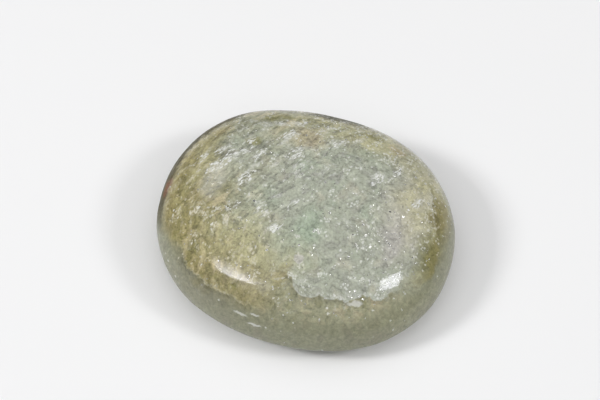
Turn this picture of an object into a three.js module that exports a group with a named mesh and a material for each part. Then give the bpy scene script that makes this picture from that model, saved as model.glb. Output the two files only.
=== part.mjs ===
// A palm stone: a flattened oval pebble of green aventurine, ground and polished all over so that a thumb can rub it.
// It is one piece of stone. Its top is a broad low dome and its underside a shallow bowl, and it rests on a small
// flat worn under the middle. Its waist, the line round it where it is widest, runs lower on one side. Each long side
// was held against the grinding wheel a little longer, which left it straighter than the ends.
// Millimetres, +Z up. The origin is on the resting face, under the middle of the stone, and +X runs along it.
import * as THREE from "three";
import { mergeVertices } from "three/addons/utils/BufferGeometryUtils.js";

// Driving dimensions, in millimetres
const LENGTH = 61; // end to end
const WIDTH = 53.5; // side to side, before the long sides were ground
const DOME_HEIGHT = 11.6; // from the waist up to the top
const BELLY_DEPTH = 6.6; // from the waist down to the underside, before it was worn flat
const REST_WEAR = 0.2; // taken off under the middle, which leaves a flat spot about 18 mm across

// How the outline and the profile bend. 2 is a true ellipse, and more is fuller towards the corners.
const OUTLINE_FULLNESS = 2.1;
const DOME_FULLNESS = 2.45;
const BELLY_FULLNESS = 2.5;

// One end is a little blunter than the other
const BLUNT_END = { share: 0.042, azimuth: 221 };

// The waist isn't level: it falls by this much for each millimetre towards one side
const WAIST_DIP = { slope: 0.07, azimuth: 294 };

// The ground long sides: where each faces, in degrees round from +X and up from level, and how far it is from the
// middle of the stone at its waist
const GROUND_SIDES = [
  { azimuth: 98, tilt: 27, distance: 25.45 },
  { azimuth: 274, tilt: 1, distance: 31.3 },
];
const BLEND_SHARPNESS = 10; // how quickly the pebble's curve gives way to a ground side

const SURFACE_DETAIL = 17; // each edge of the starting icosahedron is cut into one more piece than this

const radians = THREE.MathUtils.degToRad;

// The distance from the middle to the outline, looking down, in a direction round from +X
function outlineRadius(angle) {
  const along = Math.abs(Math.cos(angle) / (LENGTH / 2)) ** OUTLINE_FULLNESS;
  const across = Math.abs(Math.sin(angle) / (WIDTH / 2)) ** OUTLINE_FULLNESS;
  const blunting = 1 + BLUNT_END.share * Math.cos(angle - radians(BLUNT_END.azimuth));
  return (along + across) ** (-1 / OUTLINE_FULLNESS) * blunting;
}

// Carries a point of the unit sphere onto the pebble, as tumbling alone would leave it
function tumbled(point) {
  const above = point.z > 0;
  const fullness = above ? DOME_FULLNESS : BELLY_FULLNESS;
  const level = Math.hypot(point.x, point.y);
  const angle = Math.atan2(point.y, point.x);
  const radius = outlineRadius(angle) * level ** (2 / fullness);
  const height = point.z * (above ? DOME_HEIGHT : BELLY_DEPTH);
  return new THREE.Vector3(radius * Math.cos(angle), radius * Math.sin(angle), height);
}

// Draws a point in towards the middle wherever it stands outside a ground side, with a soft edge all round
const groundDirections = GROUND_SIDES.map(({ azimuth, tilt, distance }) => ({
  facing: new THREE.Vector3().setFromSphericalCoords(1, radians(90 - tilt), radians(azimuth)),
  distance,
}));
groundDirections.forEach(({ facing }) => facing.set(facing.z, facing.x, facing.y)); // from +Y up to +Z up

function ground(point) {
  const reach = groundDirections.reduce(
    (sum, { facing, distance }) => sum + Math.max(point.dot(facing) / distance, 0) ** BLEND_SHARPNESS,
    1,
  );
  return point.multiplyScalar(reach ** (-1 / BLEND_SHARPNESS));
}

// Lowers the waist on its low side and lifts it on the other, and carries the dome with it. The underside stays level,
// and the flank between takes a share that grows from nothing at the underside to all of it at the waist.
function dipped(point) {
  const along = point.x * Math.cos(radians(WAIST_DIP.azimuth)) + point.y * Math.sin(radians(WAIST_DIP.azimuth));
  const share = 1 + Math.min(point.z, 0) / BELLY_DEPTH;
  point.z -= WAIST_DIP.slope * along * share;
  return point;
}

// Wears the underside down to the level that the stone rests on
const restLevel = REST_WEAR - BELLY_DEPTH;
function worn(point) {
  point.z = Math.max(point.z, restLevel);
  return point;
}

function stoneGeometry() {
  const sphere = new THREE.IcosahedronGeometry(1, SURFACE_DETAIL);
  sphere.deleteAttribute("normal");
  sphere.deleteAttribute("uv");
  const stone = mergeVertices(sphere, 1e-4);
  const places = stone.getAttribute("position");
  for (let i = 0; i < places.count; i++) {
    const point = worn(dipped(ground(tumbled(new THREE.Vector3().fromBufferAttribute(places, i)))));
    places.setXYZ(i, point.x, point.y, point.z);
  }
  stone.computeBoundingBox();
  const middle = stone.boundingBox.getCenter(new THREE.Vector3());
  stone.translate(-middle.x, -middle.y, -restLevel);
  stone.computeVertexNormals();
  return stone;
}

const polishedAventurine = new THREE.MeshStandardMaterial({ color: 0x9fa188, roughness: 0.18, metalness: 0 });

const stone = new THREE.Mesh(stoneGeometry(), polishedAventurine);
stone.name = "palm_stone";

const palmStone = new THREE.Group();
palmStone.add(stone);

export default palmStone;
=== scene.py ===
# %% [markdown]
# # A palm stone
#
# This lesson finishes one polished stone in Blender: an oval pebble of pale green aventurine, about
# 61 mm long, that a thumb rubs. A stone looks simple, and that is what makes it a good lesson. It has
# no seams or screws to look at, so everything rests on three things: a surface that is truly smooth
# and a little uneven, a colour that seems to lie under that surface and not on it, and a reflection
# as sharp as the polish.

# %% Load the stone's solid
import math

import bmesh
import bpy
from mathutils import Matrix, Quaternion, Vector


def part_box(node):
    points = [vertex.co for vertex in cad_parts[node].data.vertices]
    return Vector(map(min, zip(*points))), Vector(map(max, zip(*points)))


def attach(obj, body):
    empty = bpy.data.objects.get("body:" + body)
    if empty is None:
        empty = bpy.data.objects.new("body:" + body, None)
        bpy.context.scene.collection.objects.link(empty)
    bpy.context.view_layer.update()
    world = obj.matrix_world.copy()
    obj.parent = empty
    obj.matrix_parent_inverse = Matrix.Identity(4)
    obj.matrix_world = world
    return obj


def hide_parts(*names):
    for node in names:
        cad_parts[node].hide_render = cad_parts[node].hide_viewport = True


MM = 0.001  # one millimetre, in Blender's metres

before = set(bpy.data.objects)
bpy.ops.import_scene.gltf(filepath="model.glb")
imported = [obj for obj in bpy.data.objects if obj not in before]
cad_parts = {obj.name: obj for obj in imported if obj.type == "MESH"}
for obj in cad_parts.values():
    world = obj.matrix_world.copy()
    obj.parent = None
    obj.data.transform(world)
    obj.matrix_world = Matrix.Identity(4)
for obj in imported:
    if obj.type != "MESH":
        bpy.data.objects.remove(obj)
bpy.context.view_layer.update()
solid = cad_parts["palm_stone"]
lowest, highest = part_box("palm_stone")
middle = (lowest + highest) / 2
size = highest - lowest
measured = [round(side / MM, 1) for side in size]
print("the solid measures", measured, "mm and has", len(solid.data.polygons), "faces")

# %% [markdown]
# ## The camera
#
# The photograph looks down on the stone at 58 degrees with a long lens, from a little over a third of
# a metre. A long lens close by keeps the outline almost as it would look from far away. The stone's
# own length runs along X, and in the photograph it lies turned, so the camera walks round it by 19
# degrees. Turning the stone would also work, but a thing that stays square to its own axes is easier
# to measure.

# %% The camera
VIEW_AZIMUTH = math.radians(19.34)
VIEW_ELEVATION = math.radians(58)
VIEW_DISTANCE = 356.8 * MM
LENS = 102  # millimetres, on a sensor 36 mm wide
LOOKED_AT = Vector((-4.61, 9.77, 0)) * MM  # the spot on the table in the middle of the picture

camera_way = Vector(
    (
        math.sin(VIEW_AZIMUTH) * math.cos(VIEW_ELEVATION),
        -math.cos(VIEW_AZIMUTH) * math.cos(VIEW_ELEVATION),
        math.sin(VIEW_ELEVATION),
    )
)
bpy.ops.object.select_all(action="DESELECT")
bpy.ops.object.camera_add(location=LOOKED_AT + camera_way * VIEW_DISTANCE)
camera = bpy.context.object
camera.rotation_euler = camera_way.to_track_quat("Z", "Y").to_euler()
camera.data.lens = LENS
camera.data.clip_start = 0.01
bpy.context.scene.camera = camera
print("the camera stands at", [round(side / MM) for side in camera.location], "mm")

# %% [markdown]
# ## The blank
#
# A real palm stone starts as a block sawn from a slab. Its corners are knocked off, and it is ground
# round. The same steps work here. A sphere from the menu would do as well, but its rings of faces
# crowd together at two poles, and a pole on a polished surface shows as a star in the reflection. A
# cube that is cut into squares and then rounded has no poles. The blank is sawn a quarter too large,
# as a real one is, so that there is something to grind off all over.

# %% Saw the block and knock its corners off
BLOCK_CUTS = 27  # cuts across each side of the block
OVERSIZE = 1.25  # how much larger the blank is than the stone

bpy.ops.object.select_all(action="DESELECT")
bpy.ops.mesh.primitive_cube_add(size=size.x, location=middle)
stone = bpy.context.object
stone.name = "polished_stone"
bpy.ops.object.transform_apply(location=True, rotation=True, scale=True)
bpy.ops.object.mode_set(mode="EDIT")
bpy.ops.mesh.select_all(action="SELECT")
bpy.ops.mesh.subdivide(number_cuts=BLOCK_CUTS)
bpy.ops.transform.tosphere(value=1)
bpy.ops.object.mode_set(mode="OBJECT")
proportions = size * (OVERSIZE / stone.dimensions.x)
bpy.ops.object.mode_set(mode="EDIT")
bpy.ops.transform.resize(value=proportions, center_override=middle)
bpy.ops.object.mode_set(mode="OBJECT")
print("the rough blank has", len(stone.data.polygons), "faces")
print("and measures", [round(side / MM) for side in stone.dimensions], "mm")

# %% [markdown]
# ## Grinding
#
# The solid has the stone's exact form, but in flat facets. A Shrinkwrap modifier lays the blank on
# it, a Subdivision Surface rounds the squares between, and a Smooth modifier takes off what is left
# of the facets, as a finer and finer grit would. Wrapping a second time after the first subdivision
# keeps the size true, because every rounding pulls the surface in a little.


# %% Grind the blank to the solid's form
def finish_with(kind, **settings):
    """Adds a modifier to the stone and applies it."""
    modifier = stone.modifiers.new(kind.title(), kind)
    for name, value in settings.items():
        setattr(modifier, name, value)
    bpy.context.view_layer.objects.active = stone
    bpy.ops.object.modifier_apply(modifier=modifier.name)


finish_with("SHRINKWRAP", target=solid, wrap_method="NEAREST_SURFACEPOINT")
finish_with("SUBSURF", levels=1, render_levels=1)
finish_with("SHRINKWRAP", target=solid, wrap_method="NEAREST_SURFACEPOINT")
finish_with("SMOOTH", factor=0.5, iterations=6)
finish_with("SUBSURF", levels=1, render_levels=1)
finish_with("SMOOTH", factor=0.5, iterations=4)
print("ground, it measures", [round(side / MM, 2) for side in stone.dimensions], "mm")

# %% [markdown]
# ## The foot
#
# The stone rests on a small spot that was worn flat under its middle. Rounding has lifted that spot's
# edge a little. Squashing every point near the table flat, by a scale of zero along Z about the
# table's own level, is how it would be done by hand.

# %% Flatten the foot
FOOT_REACH = 0.03 * MM  # points closer to the table than this belong to the foot


def choose_vertices(belongs):
    """In edit mode, selects the stone's vertices for which belongs(place) is true, and counts them."""
    bpy.ops.mesh.select_mode(type="VERT")
    bpy.ops.mesh.select_all(action="DESELECT")
    mesh = bmesh.from_edit_mesh(stone.data)
    for vertex in mesh.verts:
        vertex.select = belongs(vertex.co)
    mesh.select_flush(True)
    bmesh.update_edit_mesh(stone.data)
    return sum(vertex.select for vertex in mesh.verts)


bpy.ops.object.mode_set(mode="EDIT")
foot_points = choose_vertices(lambda place: place.z < FOOT_REACH)
bpy.ops.transform.resize(value=(1, 1, 0), center_override=(0, 0, 0))
bpy.ops.object.mode_set(mode="OBJECT")
print("the foot has", foot_points, "points on the table")

# %% [markdown]
# ## Worn, not turned
#
# No grinder holds a stone quite still, so the surface rolls by up to about a tenth of a millimetre.
# The eye reads that only in the highlights, whose edges wander. A Displace modifier with a soft cloud
# texture gives it, in two sizes. A vertex group holds the foot down, so that the stone still stands
# on a true flat.

# %% Let the surface roll a little
FOOT_BLEND = 1.2 * MM  # the height over which the rolling comes in

rolling = stone.vertex_groups.new(name="rolling")
for vertex in stone.data.vertices:
    rolling.add([vertex.index], min(1, vertex.co.z / FOOT_BLEND), "REPLACE")


def roll(name, wave, height):
    """Waves of one size over the whole surface, as clouds of that size push it in and out."""
    clouds = bpy.data.textures.new(name, "CLOUDS")
    clouds.noise_scale = wave
    clouds.noise_depth = 1
    finish_with(
        "DISPLACE",
        texture=clouds,
        texture_coords="LOCAL",
        strength=height,
        mid_level=0.5,
        vertex_group="rolling",
    )


roll("slow_roll", wave=11 * MM, height=0.28 * MM)
roll("quick_roll", wave=3.4 * MM, height=0.03 * MM)
bpy.ops.object.select_all(action="DESELECT")
stone.select_set(True)
bpy.ops.object.shade_smooth()
print("worn, it measures", [round(side / MM, 2) for side in stone.dimensions], "mm")

# %% [markdown]
# ## Small pits
#
# Where a grain broke out under the wheel, the polish runs down into a shallow pit. Most lie along the
# broken edge of the pale cap. By hand, one would pick a point of the mesh and press it in with
# proportional editing on, which takes the points round it along by less and less. Each pit here is
# one such press, about a tenth of a millimetre deep.

# %% Press the pits in
PITS = [  # where each is, how wide it is and how deep, in millimetres
    (13.4, -15.8, 13.5, 2.0, 0.14),
    (16.4, -14.8, 13.0, 1.6, 0.10),
    (3.3, -13.6, 15.8, 1.6, 0.08),
    (-17.0, 4.4, 16.8, 2.0, 0.10),
    (-12.6, 0.2, 17.6, 1.6, 0.08),
    (-7.6, 13.6, 17.5, 1.6, 0.10),
    (21.8, 9.0, 14.4, 1.6, 0.10),
    (8.0, 21.6, 14.2, 1.8, 0.12),
]
for x, y, z, width, depth in PITS:
    outward, face = stone.closest_point_on_mesh(Vector((x, y, z)) * MM)[2:]
    bpy.ops.object.mode_set(mode="EDIT")
    bpy.ops.mesh.select_mode(type="VERT")
    bpy.ops.mesh.select_all(action="DESELECT")
    bpy.ops.object.mode_set(mode="OBJECT")
    stone.data.vertices[stone.data.polygons[face].vertices[0]].select = True
    bpy.ops.object.mode_set(mode="EDIT")
    bpy.ops.transform.translate(
        value=-outward * depth * MM,
        use_proportional_edit=True,
        proportional_edit_falloff="SMOOTH",
        proportional_size=width / 2 * MM,
    )
    bpy.ops.object.mode_set(mode="OBJECT")
print(len(PITS), "pits are pressed in")

# %% [markdown]
# ## A small tool for wiring materials
#
# A material in Blender is a graph of nodes. Built by hand, each node is added, set, and wired to the
# next. One short helper does the same from code: it adds a node, sets its choices, fills or wires its
# inputs, and hands back one output, so that a line of code reads as one step of the recipe.

# %% A helper that adds a node
material = bpy.data.materials.new("polished_aventurine")
material.use_nodes = True
tree = material.node_tree
tree.nodes.clear()


def node(kind, inputs=None, output=0, **choices):
    """Adds a node and returns one of its outputs. Inputs are numbers, colours or other nodes' outputs."""
    made = tree.nodes.new("ShaderNode" + kind)
    for name, value in choices.items():
        setattr(made, name, value)
    for key, value in (inputs or {}).items():
        if isinstance(value, bpy.types.NodeSocket):
            tree.links.new(value, made.inputs[key])
        else:
            made.inputs[key].default_value = value
    return made.outputs[output]


print("the material's graph is open:", material.name)

# %% [markdown]
# ## Plain names for the steps used most
#
# Most of the recipe is made of a few steps: a sum, a fade from one number to another, one colour laid
# on another, and cloudy noise. Each gets a short function with a plain name, so that the recipe can
# be read without knowing how every node numbers its inputs.


# %% Short helpers for common nodes
def calc(operation, first, second=0.0, third=0.0):
    """One sum with up to three numbers."""
    return node("Math", {0: first, 1: second, 2: third}, operation=operation)


def vector_calc(operation, first, second=(0, 0, 0)):
    """One sum with up to two vectors."""
    return node("VectorMath", {0: first, 1: second}, operation=operation)


def scaled(vector, factor):
    """The vector made longer or shorter by a number."""
    made = vector_calc("SCALE", vector)
    made.node.inputs["Scale"].default_value = factor
    return made


def share(mask, part):
    """A mask at part of its strength."""
    return calc("MULTIPLY", mask, part)


def plus(total, mask, amount):
    """A number with some amount more, or less, where a mask is."""
    return calc("MULTIPLY_ADD", mask, amount, total)


def fade(value, start, end, low=0.0, high=1.0):
    """Goes smoothly from low at start to high at end."""
    inputs = {"Value": value, "From Min": start, "From Max": end, "To Min": low, "To Max": high}
    return node("MapRange", inputs, interpolation_type="SMOOTHSTEP")


# A Mix node has inputs for every kind of data, and those of each kind share the names A and B. So they
# are told apart by number: 2 and 3 are plain numbers, 6 and 7 are colours, and output 2 is a colour too.
def blend(soft, sharp, sharpness):
    """One number that is soft where sharpness is 0 and sharp where it is 1."""
    return node("Mix", {0: sharpness, 2: soft, 3: sharp}, data_type="FLOAT")


def tint(under, over, amount):
    """Lays the colour over on the colour under, by an amount from 0 to 1."""
    return node("Mix", {0: amount, 6: under, 7: over}, output=2, data_type="RGBA")


def noise(where, grain, detail=2.0, rough=0.5, twist=0.0, output=0):
    """Cloudy noise whose blobs are about grain millimetres wide."""
    inputs = {
        "Vector": where,
        "Scale": 1 / grain,
        "Detail": detail,
        "Roughness": rough,
        "Distortion": twist,
    }
    return node("TexNoise", inputs, output=output)


print("sums, fades, tints and noise each have a plain name")

# %% [markdown]
# ## Where a point is in the stone
#
# The colour belongs to the rock and not to its skin: a bed of paler rock runs right through, and the
# surface cuts it. So every pattern reads the place of a point in space, in millimetres from the foot,
# and none of it is wrapped round the outside. A second, gently bent copy of the place makes whatever
# reads it wander, as beds in real rock do.

# %% Places in millimetres
NOISE_TO_REACH = 2.5  # a noise seldom strays from its middle by more than 1 over this

coordinates = tree.nodes.new("ShaderNodeTexCoord")
place = scaled(coordinates.outputs["Object"], 1 / MM)


def strayed(where, grain, reach, detail=2.0):
    """The same place, pushed about by up to reach millimetres in waves of about grain millimetres."""
    drift = vector_calc("SUBTRACT", noise(where, grain, detail, output="Color"), (0.5, 0.5, 0.5))
    return vector_calc("ADD", where, scaled(drift, NOISE_TO_REACH * reach))


bent_place = strayed(place, grain=7, reach=2.4, detail=3)
torn_place = strayed(bent_place, grain=1.2, reach=0.55)
near_place = strayed(place, grain=1.6, reach=0.22)
ragged_place = strayed(place, grain=0.8, reach=0.3)
print("patterns can read the true place, a bent one and a torn one")

# %% [markdown]
# ## Masks
#
# A painter would cover part of the stone and spray the rest. A mask does that here: a number that is
# 1 inside a part of the rock, 0 outside it and something between along its edge. A patch is the space
# round one point, longer one way than another. Masks can be laid together in two ways, by the
# stronger of them or where both are.


# %% Helpers for masks
def length_of(vector):
    """How long a vector is."""
    return node("VectorMath", {0: vector}, output="Value", operation="LENGTH")


def patch(middle_at, reach, edge=0.5, where=torn_place):
    """A soft patch round a point. Reach is how far it goes along X, Y and Z, all in millimetres."""
    offset = vector_calc("SUBTRACT", where, middle_at)
    distance = length_of(vector_calc("DIVIDE", offset, reach))
    return fade(distance, 1 + edge / 2, 1 - edge / 2)


def any_of(*masks):
    """Where any of the masks is, by the strongest."""
    strongest = masks[0]
    for mask in masks[1:]:
        strongest = calc("MAXIMUM", strongest, mask)
    return strongest


def both(first, second):
    """Where both masks are."""
    return calc("MULTIPLY", first, second)


print("masks can be soft patches, laid together")

# %% [markdown]
# ## Joints between beds
#
# A joint between two beds is a tilted plane, and the height over it says which bed a point is in.
# Each joint is scalloped, because the rock parted there along small shell-shaped breaks that have
# since healed. The distance to the middle of a Voronoi cell, taken off the height, gives such
# scallops: round lobes with sharp notches between them.

# %% Helpers for joints
MEAN_LOBE = 0.45  # how far a place is from the middle of its lobe on average, in lobes
LOBE_SLOPE = 0.6  # how steeply a round lobe rises from its edge


def along(vector, direction):
    """How far a vector reaches along a direction."""
    return node("VectorMath", {0: vector, 1: direction}, output="Value", operation="DOT_PRODUCT")


def height_over(level, slope_x, slope_y, lobe, lobe_depth, ragged):
    """Millimetres over a tilted joint, which is scalloped by lobes of that width and depth."""
    plane = along(place, (-slope_x, -slope_y, 1))
    lobes = node("TexVoronoi", {"Vector": scaled(torn_place, 1 / lobe), "Scale": 1}, feature="F1")
    scalloped = calc("MULTIPLY_ADD", lobes, -lobe_depth, lobe_depth * MEAN_LOBE - level)
    torn = calc("MULTIPLY_ADD", noise(place, grain=0.9, detail=3), 2 * ragged, -ragged)
    return calc("ADD", calc("ADD", plane, scalloped), torn)


def round_lobe(middle_at, radius):
    """Millimetres over the edge of one round lobe of a bed."""
    distance = length_of(vector_calc("SUBTRACT", near_place, middle_at))
    return calc("MULTIPLY_ADD", distance, -LOBE_SLOPE, LOBE_SLOPE * radius)


print("joints can be tilted and scalloped, with round lobes")

# %% [markdown]
# ## Three beds of rock
#
# The stone shows three beds, one over the other: a grey base, an olive bed stained by iron, and a
# pale glassy bed on top. The lower joint is nearly level and the upper one leans, so the pale bed
# reaches far down on the right and leaves the left to the olive one. Two round lobes stand at the
# pale bed's front. A joint shows as a crisp line only where the beds parted, and elsewhere one bed
# fades into the next.

# %% The beds and their joints
over_base = height_over(level=11.4, slope_x=0.0, slope_y=0.02, lobe=3.2, lobe_depth=1.0, ragged=0.45)
over_olive = height_over(level=15.8, slope_x=-0.15, slope_y=0.04, lobe=4.3, lobe_depth=1.1, ragged=0.2)

# The pale bed ends in two round lobes at its front, and at its right end it was ground further back.
over_olive = calc("MAXIMUM", over_olive, round_lobe((6.3, -15.5, 14.8), radius=3.5))
over_olive = calc("MAXIMUM", over_olive, round_lobe((10.3, -15.1, 14.4), radius=2.9))
ground_back = patch((27, 9, 11.8), (3.4, 5.5, 3), edge=1.2)
over_olive = plus(over_olive, ground_back, -1.0)

base_parted = patch((-13, -21, 11.5), (10, 7, 5), edge=1.2)
olive_parted = any_of(
    patch((13, -17, 13), (13, 8, 6), edge=0.6),
    patch((25, 9.5, 12.3), (5, 6, 5), edge=0.8),
)
in_olive = blend(fade(over_base, -1.6, 1.2), fade(over_base, -0.2, 0.25), base_parted)
in_pale = blend(fade(over_olive, -2.2, 1.8), fade(over_olive, -0.1, 0.14), olive_parted)
print("three beds lie over each other")

# %% [markdown]
# ## The grain of the rock
#
# Aventurine is quartz full of thin flakes that lie one over the other like the scales of a fish.
# Where the polish cuts them at a slant, they show as short pale streaks. On the left of this stone
# the streaks run back at a slant, as if the rock had been dragged to the right. Bending the space
# that the noise lives in does that: behind a line near the front, each point is pushed along X by
# half of how far back it is. The space is then stretched along the streaks.

# %% The space that the streaks live in
DRAG = 0.5  # how far along X the grain has been dragged for each millimetre towards the back
DRAG_START = -8  # millimetres along Y, where the drag begins
STRETCH = 2.0  # how many times longer than wide a streak is
THICKEN = 1.4  # how many times deeper than wide it is


def dragged(x, y, z):
    """Where a place of the stone lies in the streaks' own space, in plain numbers."""
    return (x - DRAG * max(y - DRAG_START, 0), y / STRETCH, z / THICKEN)


wavy = strayed(place, grain=4.5, reach=0.8)
wavy_x, wavy_y, wavy_z = (node("SeparateXYZ", {0: wavy}, output=axis) for axis in "XYZ")
behind = calc("MAXIMUM", calc("SUBTRACT", wavy_y, DRAG_START), 0.0)
grain_x = calc("MULTIPLY_ADD", behind, -DRAG, wavy_x)
grain_y = calc("DIVIDE", wavy_y, STRETCH)
grain_z = calc("DIVIDE", wavy_z, THICKEN)
grain_place = node("CombineXYZ", {0: grain_x, 1: grain_y, 2: grain_z})
torn_grain = strayed(grain_place, grain=0.9, reach=0.3)
print("a streak is", STRETCH, "times as long as it is wide")

# %% [markdown]
# ## Scales that catch the light
#
# In some places the scales lie just so that they shine white, alone or in small clusters. That shine
# is painted: the white laid on them further on is a painted glint. A painter would put these in one
# by one, and so does this list: where each is, how long it is along the grain, and how wide. A patch
# in the bent space gives its outline, the streaks break it up, and single grains of Voronoi cells
# sparkle in it.


# %% Bright scales
SCALE_DEPTH = 2.5  # how far a scale reaches into the rock, in the streaks' own space
GRAIN_EDGE = 0.62  # where a grain ends, in cells from its middle


def glint_grains(where, cell, crowd):
    """Picks whole grains of a width in millimetres at random, as large a share as crowd says."""
    cells = node("TexVoronoi", {"Vector": where, "Scale": 1 / cell}, feature="F1")
    lot = node("SeparateColor", {0: cells.node.outputs["Color"]}, output="Red")
    return both(calc("LESS_THAN", lot, crowd), fade(cells, GRAIN_EDGE, 0.4))


def bright_scale(x, y, z, length, width):
    """One bright scale, or a cluster of them, that lies along the grain."""
    reach = (width / 2, length / 2 / STRETCH, SCALE_DEPTH)
    return patch(dragged(x, y, z), reach, edge=0.9, where=torn_grain)


before = len(tree.nodes)
bright_scales = any_of(
    bright_scale(-23.6, 3.4, 14.6, length=4, width=1.6),
    bright_scale(-20, 2, 16.2, length=4, width=2.2),
    bright_scale(-17.6, 5.5, 16.6, length=4.6, width=2.6),
    bright_scale(-12.7, 1, 17.5, length=3.6, width=2.4),
    bright_scale(-13.4, -5.7, 16.8, length=2.4, width=1.6),
    bright_scale(-6.5, 17.8, 16.5, length=2.4, width=1.4),
    bright_scale(-15, 7.8, 17, length=2, width=1.5),
    bright_scale(-12.2, 7, 17.8, length=2.8, width=2.2),
    bright_scale(-8.4, 13, 17.6, length=3.4, width=2.2),
    bright_scale(-5.6, 9.2, 18, length=3.6, width=2.4),
    bright_scale(-11, 16, 16.6, length=2.6, width=1.2),
    bright_scale(-7.7, -5.3, 17.4, length=2.2, width=1.6),
    bright_scale(-1.8, -2.4, 17.8, length=2.4, width=1.4),
    bright_scale(-3.7, -7.7, 17.2, length=2.2, width=1.6),
    bright_scale(11.8, 9.4, 17, length=4.4, width=2.2),
    bright_scale(21, 8.3, 14.7, length=2.7, width=1.8),
    bright_scale(15, 13.4, 15.8, length=2.2, width=1.8),
    bright_scale(2, 15, 17.2, length=2.6, width=1.6),
    bright_scale(-1.7, -2.7, 17.8, length=2.4, width=1.4),
    bright_scale(-20, 6.4, 16.0, length=2.8, width=1.6),
    bright_scale(-15.4, 9.9, 17.1, length=2.6, width=1.6),
)
cream_scales = any_of(
    bright_scale(-20.6, -8.3, 14.7, length=2.0, width=2.2),
    bright_scale(-18.7, -8.3, 15.3, length=1.8, width=2.0),
    bright_scale(-24.3, -9.1, 12.8, length=3.0, width=1.6),
    bright_scale(-18.8, -13.6, 13.6, length=2.2, width=1.8),
    bright_scale(-15.3, -11.1, 15.4, length=3.0, width=1.5),
    bright_scale(-13.6, -8.2, 16.4, length=3.4, width=1.3),
    bright_scale(-6.1, -13.6, 15.8, length=1.8, width=2.0),
)
bright_scales = any_of(bright_scales, share(cream_scales, 0.85))
print("the bright scales are placed, with", len(tree.nodes) - before, "nodes")

# %% [markdown]
# ## Crests and hollows
#
# Between the bright scales the rock has the same grain, but fainter. It is strongest at the left and
# back and loses its direction towards the right, so the streaks blend from a stretched noise to a
# plain one. A crest is where the noise is high and a hollow where it is low.

# %% Crests and hollows
leftward = along(place, (-0.93, 0.36, 0))
streaky = both(fade(leftward, -18, 8, low=0.45), fade(over_base, -1.0, 1.5, low=0.15))
clumps = fade(noise(bent_place, grain=4.5, detail=2), 0.42, 0.60, low=0.1)
directed = fade(leftward, -12, 3)
plain_streaks = noise(place, grain=1.3, detail=3, rough=0.6)
directed_streaks = noise(strayed(grain_place, grain=2, reach=0.4), grain=1.25, detail=3, rough=0.6)
streaks = blend(plain_streaks, directed_streaks, directed)
glitter = fade(noise(place, grain=0.4, detail=1), 0.40, 0.60)

# Crests are raised in the relief, and further on they are painted white as a painted glint.
faint_crest_and_glint = both(fade(streaks, 0.54, 0.61), both(clumps, streaky))
bright_crest_and_glint = both(bright_scales, fade(streaks, 0.44, 0.53))
grain_spots = strayed(grain_place, grain=0.6, reach=0.2)
bright_glint_fleck = glint_grains(grain_spots, cell=0.4, crowd=share(bright_scales, 0.55))
crest = any_of(faint_crest_and_glint, bright_crest_and_glint, bright_glint_fleck)
# Hollows are sunk in the relief, and in the glow they are darkened as painted shade.
faint_hollow_and_shade = both(streaky, fade(streaks, 0.45, 0.36))
hollow_and_shade = any_of(faint_hollow_and_shade, both(bright_scales, fade(streaks, 0.42, 0.36)))
print("crests and hollows lie all over")

# %% [markdown]
# ## Lumps and small grains
#
# Under the crests lie lumps of rock two millimetres wide, lighter and darker by turns. Over them are
# small whole grains that shine in clusters, mostly in the pale bed, and their shine is a painted
# glint, white laid on them further on. A noise says where the clusters are, and a few patches add
# to it or thin it out.

# %% Lumps and small grains
plain_lumps = noise(torn_place, grain=2.6, detail=3, rough=0.6)
directed_lumps = noise(strayed(grain_place, grain=2.2, reach=1.3), grain=1.9, detail=3, rough=0.6)
lumps = blend(plain_lumps, directed_lumps, directed)
light_lump = fade(lumps, 0.50, 0.60)
dark_lump = fade(lumps, 0.48, 0.38)

front_ring = patch((2, -20.5, 12.6), (14, 3.6, 3), edge=1.2)
far_right = any_of(
    patch((12, 18, 15), (14, 5, 4), edge=1.0),
    patch((23, 8, 13.5), (5, 12, 4), edge=1.0),
)
on_band = patch((26.6, 4, 11.9), (2, 6, 1.6), edge=0.8)
glint_crowd = fade(noise(bent_place, grain=2.2, detail=2), 0.50, 0.68, low=0.01, high=0.42)
glint_crowd = both(glint_crowd, fade(over_base, -0.5, 2.0, low=0.08))
glint_crowd = plus(plus(glint_crowd, far_right, 0.16), on_band, 0.11)
glint_crowd = both(glint_crowd, fade(front_ring, 0, 1, low=1.0, high=0.25))
# Small grains whose white, laid on further on, is a painted glint.
glint_fleck = glint_grains(strayed(place, grain=0.6, reach=0.25), cell=0.5, crowd=glint_crowd)
print("lumps lie all over, and small grains in clusters")

# %% [markdown]
# ## Stains of iron
#
# Iron has crept in along the joints and left soft stains, yellow, brown and mossy. Each has a name
# and a place, as a painter would put them in one by one.

# %% Stains of iron
iron_stain = any_of(
    patch((-24, -8, 13), (10, 11, 6), edge=1.2),
    patch((-12, -17, 13), (12, 6.5, 4), edge=1.2),
    patch((-5, -19, 12.5), (6, 4, 3), edge=1.2),
)
yellow_stain = any_of(
    patch((-25, 3, 13), (4, 12, 4), edge=1.2),
    patch((-7, -12, 15), (10, 5, 4), edge=1.4),
)
gold_rim = any_of(
    patch((7, 19, 15.5), (15, 4.2, 4), edge=1.1),
    patch((22, 11, 13), (5, 9, 4), edge=1.2),
)
left_fringe = any_of(
    patch((-26.6, -2, 12.6), (3, 13, 3), edge=1.0),
    share(patch((-23.5, 10, 13.4), (4, 6, 3), edge=1.1), 0.7),
)
front_fringe = any_of(
    patch((-8, -21.6, 11.9), (8, 2.4, 2), edge=1.2),
    patch((0.6, -16.3, 14.8), (1.8, 3.0, 2), edge=0.8),
)
brown_band = any_of(
    patch((25.6, 8, 12.0), (2.3, 5.4, 1.9), edge=0.9),
    patch((26.7, -0.5, 11.8), (1.6, 5, 1.4), edge=0.9),
    share(patch((27.4, 5, 11.0), (2.2, 6, 1.6), edge=1.1), 0.5),
)
tan_stain = any_of(
    patch((-3.5, 14, 17.5), (3.2, 2.6, 2), edge=0.9),
    patch((13.4, 18.6, 14.6), (1.7, 1.7, 1.3), edge=0.8),
)
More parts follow.
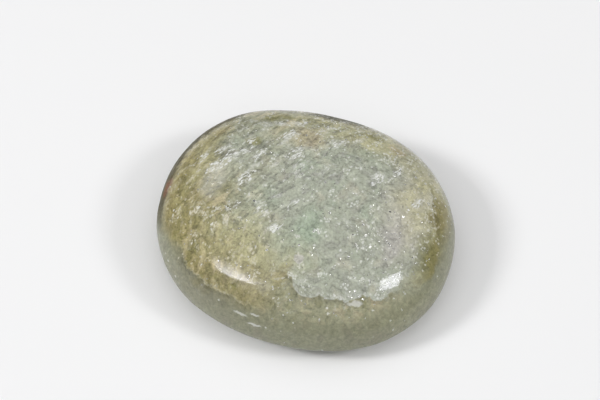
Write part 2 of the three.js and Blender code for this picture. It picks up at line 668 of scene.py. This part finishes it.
moss_spots = any_of(
    patch((-12, 17.5, 15.5), (2.6, 1.3, 2), edge=0.6),
    patch((8, 20.5, 15), (2.4, 1.3, 2), edge=0.8),
    patch((-13, -19.8, 12.2), (1.6, 1, 1), edge=0.7),
    patch((-7, -21, 12.4), (1.8, 0.9, 1), edge=0.7),
    patch((-13.8, 10.2, 17.3), (1.8, 1.5, 1), edge=0.9),
    share(patch((25.7, -1, 12.3), (2.4, 6, 1.8), edge=1.1), 0.8),
    share(patch((-19.5, -11.5, 14), (6, 7, 3), edge=1.2), 0.42),
    share(patch((-23, -5.5, 14), (5, 7, 3), edge=1.2), 0.35),
)
# A painted reflection, not a stain: the small red spot on the left rim is a red petal mirrored there.
petal_reflection = patch((-28.9, -3.4, 11), (1.6, 2.6, 1.8), edge=0.8)
print("the stains of iron are placed")

# %% [markdown]
# ## Clouds and pale patches
#
# The pale bed has a few clouds of green and lilac and some paler patches. At the back left a thin
# white vein stands on edge and shows as a ridge, and low on the front wall the same kind of vein lies
# flat and shows as short dashes.

# %% Clouds and pale patches
green_cloud = patch((2.6, -5.5, 17.4), (3.0, 3.8, 3), edge=1.2)
lilac_cloud = patch((18.5, -1.5, 15.5), (2.2, 5, 3), edge=1.2)
grey_veil = patch((-15.5, 8, 16.5), (7, 8, 5), edge=1.2)
warm_side = patch((21, 8, 14), (6, 12, 6), edge=1.2)
front_corner = patch((24, -13, 9.5), (7, 8, 4), edge=1.4)
dim_patch = patch((0, -9.0, 16.9), (4.0, 3.6, 3), edge=1.3)
pale_patch = patch((-18.8, -1.4, 16.4), (2.4, 4.0, 2), edge=1.0)
pale_quad = patch((3, -12.5, 16), (1.0, 0.9, 1.2), edge=0.35, where=ragged_place)
cream_patch = any_of(
    patch((-2.2, -18.9, 13.8), (1.7, 1.6, 1.4), edge=1.0),
    share(patch((-7, 16, 16.9), (2.2, 1.8, 1.5), edge=1.0), 0.7),
)
ridge = any_of(
    patch((-13.6, 15.0, 16.6), (1.5, 0.8, 1), edge=0.8, where=ragged_place),
    patch((-10.9, 16.0, 16.7), (1.8, 0.7, 1), edge=0.8, where=ragged_place),
    patch((-8.0, 17.0, 16.6), (1.6, 0.8, 1), edge=0.8, where=ragged_place),
)
flat_dashes = any_of(
    patch((16, -16.4, 12.4), (1.9, 0.9, 0.35), edge=0.8, where=ragged_place),
    patch((-5.1, -24.3, 9.4), (1.4, 0.8, 0.22), edge=0.8, where=ragged_place),
    patch((-2.1, -24, 10.0), (0.9, 0.8, 0.2), edge=0.8, where=ragged_place),
    patch((-1.8, -25.2, 8.2), (1.4, 0.8, 0.2), edge=0.8, where=ragged_place),
)
print("clouds and pale patches are placed")

# %% [markdown]
# ## Painted dark reflections
#
# A polished rim mirrors what lies round the stone, and on the left and at the back that is dark. So a
# dark band is painted along the left rim and a dark spot at the back rim, as painted dark reflections.
# The band is the space under a tilted, scalloped plane of its own, down to a few millimetres below it,
# and a patch keeps it to the left.

# %% Painted dark reflections
over_dark_reflection_band = height_over(level=11.4, slope_x=0.0, slope_y=0.13, lobe=2.2, lobe_depth=0.8, ragged=0.5)
# Painted dark reflection along the left rim.
left_rim_dark_reflection = both(fade(over_dark_reflection_band, 0.6, -0.3), fade(over_dark_reflection_band, -4.4, -3.2))
left_rim_dark_reflection = both(left_rim_dark_reflection, patch((-28, 6, 11), (13, 17, 9), edge=0.4))
# Painted dark reflection at the back rim.
back_rim_dark_reflection = patch((0, 22.8, 13.3), (6.0, 2.4, 2.0), edge=1.0)
print("the dark seam and the dark lens are placed")

# %% [markdown]
# ## The colours of the rock
#
# The colours are given in linear light, as a renderer counts it, so the numbers are lower than a
# paint chart's. Every bed has a ground colour, and the others are for the tints that lie over it.

# %% Rock colours
GREY_BED = (0.250, 0.246, 0.176, 1)
OLIVE_GREY = (0.258, 0.262, 0.178, 1)
OLIVE_BED = (0.322, 0.320, 0.206, 1)
PALE_BED = (0.362, 0.382, 0.305, 1)
WARM_PALE = (0.455, 0.440, 0.345, 1)
LILAC_GREY = (0.365, 0.365, 0.325, 1)
PINK_CREAM = (0.465, 0.398, 0.255, 1)
IRON = (0.302, 0.256, 0.112, 1)
YELLOW = (0.415, 0.396, 0.225, 1)
PALE_GOLD = (0.500, 0.475, 0.290, 1)
BROWN_OLIVE = (0.256, 0.222, 0.088, 1)
QUAD_LILAC = (0.520, 0.505, 0.455, 1)
TAN = (0.440, 0.370, 0.230, 1)
MOSS = (0.225, 0.215, 0.080, 1)
GREEN = (0.285, 0.360, 0.260, 1)
LILAC = (0.405, 0.385, 0.365, 1)
# Painted reflections: two dark colours for the left and back rims, and a red for a mirrored petal.
DARK_REFLECTION_OLIVE = (0.070, 0.060, 0.026, 1)
PETAL_RED = (0.215, 0.100, 0.055, 1)
DARK_REFLECTION_SLATE = (0.110, 0.106, 0.088, 1)
CREAM = (0.640, 0.600, 0.460, 1)
WHITE = (0.780, 0.785, 0.750, 1)

print("the palette is ready")

# %% [markdown]
# ## Tints over tints
#
# Tints lie over the ground colours as they would in the rock: first what belongs to each bed, then
# what has crept in later. No tint is laid on whole. A cloudy noise thins the wide ones somewhere,
# because an even colour looks painted.


# %% Tints, from the deepest to the last
def tinted(rock, *tints):
    """Lays tints on a rock in turn. Each is a colour, where it lies and how much of it there is."""
    for over, where, amount in tints:
        rock = tint(rock, over, share(where, amount))
    return rock


clouds = noise(bent_place, grain=4, detail=3)
green_haze = fade(noise(bent_place, grain=6, detail=2, twist=0.5), 0.5, 0.75, high=0.35)
thinned = fade(clouds, 0.65, 0.4, low=0.4)

base_rock = tint(OLIVE_GREY, GREY_BED, any_of(base_parted, fade(clouds, 0.45, 0.7)))
base_rock = tint(base_rock, OLIVE_BED, share(front_corner, 0.45))
olive_rock = tinted(
    OLIVE_BED,
    (IRON, any_of(iron_stain, fade(clouds, 0.56, 0.76, high=0.7)), 0.9),
    (PINK_CREAM, light_lump, 0.6),
    (MOSS, dark_lump, 0.45),
)
pale_rock = tint(PALE_BED, GREEN, green_haze)
pale_rock = tint(pale_rock, WARM_PALE, any_of(warm_side, fade(clouds, 0.45, 0.25, high=0.7)))
pale_rock = tinted(
    pale_rock,
    (GREEN, green_cloud, 0.6),
    (LILAC, any_of(lilac_cloud, fade(clouds, 0.6, 0.8, high=0.5)), 0.7),
    (IRON, both(iron_stain, fade(clouds, 0.3, 0.6, low=0.3)), 0.75),
    (LILAC_GREY, both(dark_lump, streaky), 0.6),
)
colour = tint(tint(base_rock, olive_rock, in_olive), pale_rock, any_of(in_pale, share(grey_veil, 0.85)))
colour = tinted(
    colour,
    (YELLOW, both(yellow_stain, thinned), 0.8),
    (PALE_GOLD, both(gold_rim, thinned), 0.8),
    (OLIVE_GREY, front_ring, 0.4),
)
colour = tint(colour, BROWN_OLIVE, any_of(share(brown_band, 0.8), share(front_fringe, 0.45)))
colour = tinted(
    colour,
    (IRON, left_fringe, 0.65),
    (GREEN, dim_patch, 0.25),
    (QUAD_LILAC, pale_quad, 0.85),
    (CREAM, cream_patch, 0.3),
    (TAN, tan_stain, 0.6),
    (MOSS, moss_spots, 0.7),
    # The last three are painted reflections: dark surroundings at two rims, and a red petal.
    (DARK_REFLECTION_OLIVE, left_rim_dark_reflection, 0.85),
    (DARK_REFLECTION_SLATE, back_rim_dark_reflection, 0.75),
    (PETAL_RED, petal_reflection, 0.85),
)
print("the colours of rock are laid on")

# %% [markdown]
# ## Lips and crystals
#
# Light catches the rim of each healed break, so a thin pale line, a lip, runs just inside the edge of
# a bed, with a shadow just outside it. Both are painted: the lip is raised a little and painted white
# as a painted highlight, and the shadow is painted shade. The rock itself is a paste of quartz
# crystals about a millimetre across, no two quite the same grey, with a finer mottle in them.

# %% Lips and crystals
# Each lip is raised and carries a painted highlight, and each shade beside it is painted shade.
olive_lip_and_highlight = both(fade(over_olive, -0.05, 0.08), fade(over_olive, 0.5, 0.12))
olive_shade = both(fade(over_olive, 0.02, -0.1), fade(over_olive, -0.9, -0.15))
base_lip_and_highlight = both(fade(over_base, -0.05, 0.1), fade(over_base, 0.45, 0.12))
base_shade = both(fade(over_base, 0.05, -0.1), fade(over_base, -0.9, -0.15))
lip_and_highlight = any_of(both(olive_lip_and_highlight, olive_parted), both(base_lip_and_highlight, share(base_parted, 0.6)))
shade = any_of(both(olive_shade, olive_parted), both(base_shade, base_parted))

crystals = noise(torn_place, grain=1.1, detail=3, rough=0.7)
mottle = noise(place, grain=0.5, detail=2, rough=0.6)
lively = fade(over_base, -1.5, 1.0, low=0.45)
light_grains = both(fade(crystals, 0.54, 0.62), lively)
dark_grains = both(fade(crystals, 0.46, 0.38), lively)
print("the joints have lips, and the rock has crystals")

# %% [markdown]
# ## The glow
#
# Crystals, mottle, lumps and hollows make the rock lighter or darker but hardly change its hue. So
# all of them go into one number, the glow, and the colours laid on so far are multiplied by it. The
# darkening in the hollows and in the shadow beside each lip is painted shade.

# %% The glow
LUMP_GLOW = 0.14  # how much lighter or darker a lump is than the rock round it
GRAIN_GLOW = 0.13  # the same for a crystal
HOLLOW_GLOW = 0.74  # what is left of the light in a hollow
SHADE_GLOW = 0.82  # what is left of it in a lip's shadow

glow = calc("MULTIPLY_ADD", crystals, 0.6, 0.75)
glow = plus(glow, both(light_lump, streaky), LUMP_GLOW)
glow = plus(glow, both(dark_lump, streaky), -LUMP_GLOW)
glow = plus(plus(glow, light_grains, GRAIN_GLOW), dark_grains, -GRAIN_GLOW)
mottling = both(calc("SUBTRACT", mottle, 0.5), fade(streaky, 0.4, 1.0, low=0.7, high=1.0))
glow = calc("ADD", mottling, glow)
# Painted shade in the hollows and beside the lips.
glow = both(glow, fade(hollow_and_shade, 0, 1, low=1.0, high=HOLLOW_GLOW))
glow = both(glow, fade(shade, 0, 1, low=1.0, high=SHADE_GLOW))
colour = vector_calc("MULTIPLY", colour, node("CombineXYZ", {0: glow, 1: glow, 2: glow}))
print("the glow lightens and darkens the rock")

# %% [markdown]
# ## What shines white
#
# Scales, crests, small grains, dashes, the ridge and the lips are so bright that they hide the colour
# under them, so they go on last. On the scales, crests and small grains the white is a painted
# glint, and on the lips a painted highlight; the dashes and the ridge are pale veins. Where iron has
# stained the rock they are cream, and elsewhere white. The finest grain breaks them up, so that none
# of them is a plain patch.


# %% What shines white
def glittering(mask, least):
    """A mask broken up by the finest grain, with at least that much of it left everywhere."""
    return both(mask, fade(glitter, 0, 1, low=least))


stained = any_of(iron_stain, yellow_stain, brown_band, share(warm_side, 0.5))
cream_or_white = tint(WHITE, CREAM, stained)
scale_white = tint(WHITE, CREAM, cream_scales)
colour = tinted(
    colour,
    (WHITE, pale_patch, 0.25),
    # Painted glints on small grains, crests and scales.
    (cream_or_white, glint_fleck, 0.6),
    (cream_or_white, glittering(faint_crest_and_glint, 0.4), 0.5),
    (scale_white, glittering(bright_crest_and_glint, 0.2), 0.6),
    (scale_white, bright_glint_fleck, 0.95),
    (WHITE, flat_dashes, 0.6),
    (WHITE, glittering(ridge, 0.3), 0.5),
    # Painted highlight on the lips.
    (WHITE, glittering(lip_and_highlight, 0.3), 0.33),
)
print("scales and lips are drawn, with", len(tree.nodes), "nodes so far")

# %% [markdown]
# ## Flakes of mica
#
# The sparkle comes from flakes of mica a quarter of a millimetre wide, each a tiny mirror that lies
# at its own slant under the polish. Voronoi cells scatter them. A cell's random colour says whether
# it holds a flake, and the same colour tips that flake's normal, so that as the stone turns one after
# another catches a lamp.


# %% Flakes
FLAKE_TIP = 0.8  # how far the random colour tips a flake's normal


def flakes(cell, part, crowd):
    """Turns some cells of a width in millimetres to mica. Returns where it is and a colour at random."""
    where = strayed(place, grain=0.5, reach=0.08)
    cells = node("TexVoronoi", {"Vector": where, "Scale": 1 / cell}, feature="F1")
    random = cells.node.outputs["Color"]
    lot = node("SeparateColor", {0: random}, output="Blue")
    chosen = calc("LESS_THAN", lot, share(crowd, part))
    return both(chosen, fade(cells, GRAIN_EDGE, 0.5)), random


rightward = fade(leftward, 6, -22, low=0.25, high=1.2)
crowding = fade(noise(bent_place, grain=3.2, detail=2), 0.42, 0.66, low=0.15, high=2.0)
crowding = both(crowding, both(rightward, fade(over_base, -1.5, 2.5, low=0.1)))
small_flakes, small_tips = flakes(cell=0.3, part=0.028, crowd=crowding)
large_flakes, large_tips = flakes(cell=0.5, part=0.014, crowd=crowding)
flake = any_of(small_flakes, large_flakes)
tips = tint(small_tips, large_tips, large_flakes)
tip = scaled(vector_calc("SUBTRACT", tips, (0.5, 0.5, 0.5)), FLAKE_TIP)
print("mica is scattered in two sizes")

# %% [markdown]
# ## Two surfaces in one
#
# Light meets a polished stone twice. First comes the polish, a film nearly as smooth as glass, which
# mirrors the windows. Under it lie the cut grains, which scatter what gets through. The Principled
# shader has a coat for the first and its base for the second, and each gets its own normal: the base
# a rough one from the grain, the coat one that is almost smooth. Quartz also lets light in for about
# a millimetre, so there is a little subsurface scattering. The painted dark reflections on the left
# and back rims have no coat, so that the polish doesn't mirror the bright table over them.

# %% The shader
MICA = (0.86, 0.87, 0.80, 1)

shader = tree.nodes.new("ShaderNodeBsdfPrincipled")
shader.inputs["IOR"].default_value = 1.5
shader.inputs["Specular IOR Level"].default_value = 0.1
shader.inputs["Coat Roughness"].default_value = 0.085
shader.inputs["Coat IOR"].default_value = 1.42
shader.inputs["Subsurface Weight"].default_value = 0.08
shader.inputs["Subsurface Radius"].default_value = (1.0, 1.0, 0.7)
shader.inputs["Subsurface Scale"].default_value = 1.0 * MM

tree.links.new(tint(colour, MICA, flake), shader.inputs["Base Color"])
tree.links.new(share(flake, 0.9), shader.inputs["Metallic"])
tree.links.new(fade(flake, 0, 1, low=0.42, high=0.25), shader.inputs["Roughness"])
# The painted dark reflections get no coat, so that no bright reflection of the table lies over them.
dark_reflections = any_of(left_rim_dark_reflection, back_rim_dark_reflection)
tree.links.new(fade(dark_reflections, 0, 1, low=0.8, high=0.0), shader.inputs["Coat Weight"])
print("the base has a coat over it, except on the soft rock")

# %% [markdown]
# ## Relief
#
# The grain has a relief of about a tenth of a millimetre under the polish, which a Bump node turns
# into a normal. The flakes tip that normal further. The polish has a relief too, far fainter, which
# only roughens the edges of what is mirrored in it.


# %% Relief of the base and of the polish
LUMP_HEIGHT = 0.6  # all heights are in millimetres
CREST_HEIGHT = 0.12
LIP_HEIGHT = 0.10
MOTTLE_HEIGHT = 0.12
HOLLOW_DEPTH = 0.08
GRAIN_HEIGHT = 0.05
POLISH_HEIGHT = 0.005
POLISH_MOTTLE = 0.001


def bump(height, strength):
    """The normal of a surface with a relief of that height, in millimetres."""
    return node("Bump", {"Strength": strength, "Distance": MM, "Height": height})


relief = share(mottle, MOTTLE_HEIGHT)
relief = plus(plus(relief, hollow_and_shade, -HOLLOW_DEPTH), crest, CREST_HEIGHT)
relief = plus(plus(relief, dark_grains, -GRAIN_HEIGHT), light_grains, GRAIN_HEIGHT)
relief = plus(plus(relief, both(lumps, streaky), LUMP_HEIGHT), lip_and_highlight, LIP_HEIGHT)
tip_share = node("CombineXYZ", {0: flake, 1: flake, 2: flake})
tipped = vector_calc("ADD", bump(relief, strength=0.8), vector_calc("MULTIPLY", tip, tip_share))
tree.links.new(vector_calc("NORMALIZE", tipped), shader.inputs["Normal"])
polish = plus(share(mottle, POLISH_MOTTLE), streaks, POLISH_HEIGHT)
tree.links.new(bump(polish, strength=1.0), shader.inputs["Coat Normal"])
surface = tree.nodes.new("ShaderNodeOutputMaterial")
tree.links.new(shader.outputs["BSDF"], surface.inputs["Surface"])
stone.data.materials.append(material)
print("the material has", len(tree.nodes), "nodes")

# %% [markdown]
# ## The table
#
# The stone lies on a plain white table, large enough to have no edge in the picture. Its paint is
# nearly without gloss, so the only sharp reflections are on the stone.

# %% The table
TABLE_SIDE = 4  # metres
TABLE_WHITE = (0.86, 0.86, 0.865, 1)

bpy.ops.object.select_all(action="DESELECT")
bpy.ops.mesh.primitive_plane_add(size=TABLE_SIDE, location=(0, 0, 0))
table = bpy.context.object
table.name = "table"
table_paint = bpy.data.materials.new("white_table")
table_paint.use_nodes = True
table_shader = table_paint.node_tree.nodes["Principled BSDF"]
table_shader.inputs["Base Color"].default_value = TABLE_WHITE
table_shader.inputs["Roughness"].default_value = 0.8
table_shader.inputs["Specular IOR Level"].default_value = 0.1
table.data.materials.append(table_paint)
print("the table is ready")

# %% [markdown]
# ## Lamps
#
# Two soft lamps stand by the table, one to each side, and light the stone from there. In a studio,
# flags and screens shape what shines on a thing and what is mirrored in it, one apart from the other.
# Here each side has two panels for that. The first is the lamp, which lights the stone and casts its
# soft shadow but isn't mirrored.

# %% Two lamps
LAMP_DISTANCE = 1200  # millimetres, as are the sizes of the panels
LAMP_SIZE = (260, 260)
FOOT = (0, 0, 0)


def panel(name, spot, azimuth, elevation, size, distance, brightness, turn=0.0):
    """A soft lamp as seen from a spot. Azimuth runs to the right, from straight away from the camera."""
    away = VIEW_AZIMUTH + math.pi / 2 - math.radians(azimuth)
    height = math.radians(elevation)
    level = math.cos(height)
    way = Vector((math.cos(away) * level, math.sin(away) * level, math.sin(height)))
    bpy.ops.object.light_add(type="AREA", location=(Vector(spot) + way * distance) * MM)
    made = bpy.context.object
    made.name = name
    turned = way.to_track_quat("Z", "Y") @ Quaternion((0, 0, 1), math.radians(turn))
    made.rotation_euler = turned.to_euler()
    made.data.shape = "RECTANGLE"
    made.data.size, made.data.size_y = (side * MM for side in size)
    made.data.energy = brightness * math.pi * made.data.size * made.data.size_y
    return made


left_lamp = panel("left_lamp", FOOT, -97, 40, LAMP_SIZE, LAMP_DISTANCE, brightness=29)
right_lamp = panel("right_lamp", FOOT, 100, 40, LAMP_SIZE, LAMP_DISTANCE, brightness=17.5)
for lamp in (left_lamp, right_lamp):
    lamp.visible_glossy = False
print("two lamps light the stone")

# %% [markdown]
# ## Windows in the polish
#
# The second panel of each side is a window, which is mirrored but doesn't light. In the polish it
# shows as a small bright spot on the stone's shoulder, a little bluer than the lamp's own light. Its
# place is found backwards: from the spot in the photograph, along the mirrored line of sight.

# %% Two windows
WINDOW_DISTANCE = 350
WINDOW_BLUE = (0.9, 0.9, 1.0)
LEFT_SPOT = (-8, -18.7, 13.6)  # where the bright spots lie on the stone, in millimetres
RIGHT_SPOT = (20.7, -9.4, 13.4)

left_window = panel(
    "left_window", LEFT_SPOT, -112.7, 59, (158, 100), WINDOW_DISTANCE, brightness=17.0, turn=27
)
right_window = panel(
    "right_window", RIGHT_SPOT, 115.6, 51, (88, 50), WINDOW_DISTANCE, brightness=19.8, turn=-47
)
for window in (left_window, right_window):
    window.visible_diffuse = False
    window.data.color = WINDOW_BLUE
print("two windows are mirrored in the polish")

# %% [markdown]
# ## A window with a soft top
#
# The bright spot on the left is a crescent with a crisp lower edge that fades upwards, as a round
# lamp behind a thin curtain would give. A light can have a graph of nodes of its own. The place on
# the panel runs from 0 to 1 each way, and two fades over it make the lamp's strength.

# %% The left window's gradient
left_window.data.shape = "ELLIPSE"
left_window.data.use_nodes = True
tree = left_window.data.node_tree
along_window = node("SeparateXYZ", {0: node("NewGeometry", output="Parametric")}, output="X")
up_window = along_window.node.outputs["Y"]
ends = fade(along_window, 0.0, 0.7, low=0.65, high=1.0)
strength = both(ends, fade(up_window, 0.05, 0.75, low=1.0, high=0.06))
tree.links.new(strength, tree.nodes["Emission"].inputs["Strength"])
print("the left window fades towards its top")

# %% [markdown]
# ## The room's own light
#
# Most of the light comes from a white ceiling. The sky is bright overhead and almost dark towards the
# level of the table, so the stone's flanks mirror something darker than its top does, and the outline
# stays firm. The brightest direction leans a little towards the camera.

# %% The room's own light
OVERHEAD = math.radians(86)  # how high the brightest direction is
SKY_OVERHEAD = 1.015  # how bright the sky is there
SKY_AT_TABLE = 0.03  # and towards the level of the table

world = bpy.data.worlds.new("studio")
bpy.context.scene.world = world
world.use_nodes = True
tree = world.node_tree
backdrop = tree.nodes["Background"]
lean = math.cos(OVERHEAD)
overhead = Vector((math.sin(VIEW_AZIMUTH) * lean, -math.cos(VIEW_AZIMUTH) * lean, math.sin(OVERHEAD)))
facing = along(node("TexCoord"), overhead)
sky = fade(facing, 0.3, 0.95, low=SKY_AT_TABLE, high=SKY_OVERHEAD)
tree.links.new(sky, backdrop.inputs["Strength"])
backdrop.inputs["Color"].default_value = (1, 1, 1, 1)
bpy.context.scene.view_settings.view_transform = "Standard"
print("the ceiling is lit")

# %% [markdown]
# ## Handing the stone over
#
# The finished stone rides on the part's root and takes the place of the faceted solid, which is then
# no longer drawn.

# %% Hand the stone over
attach(stone, "root")
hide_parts("palm_stone")
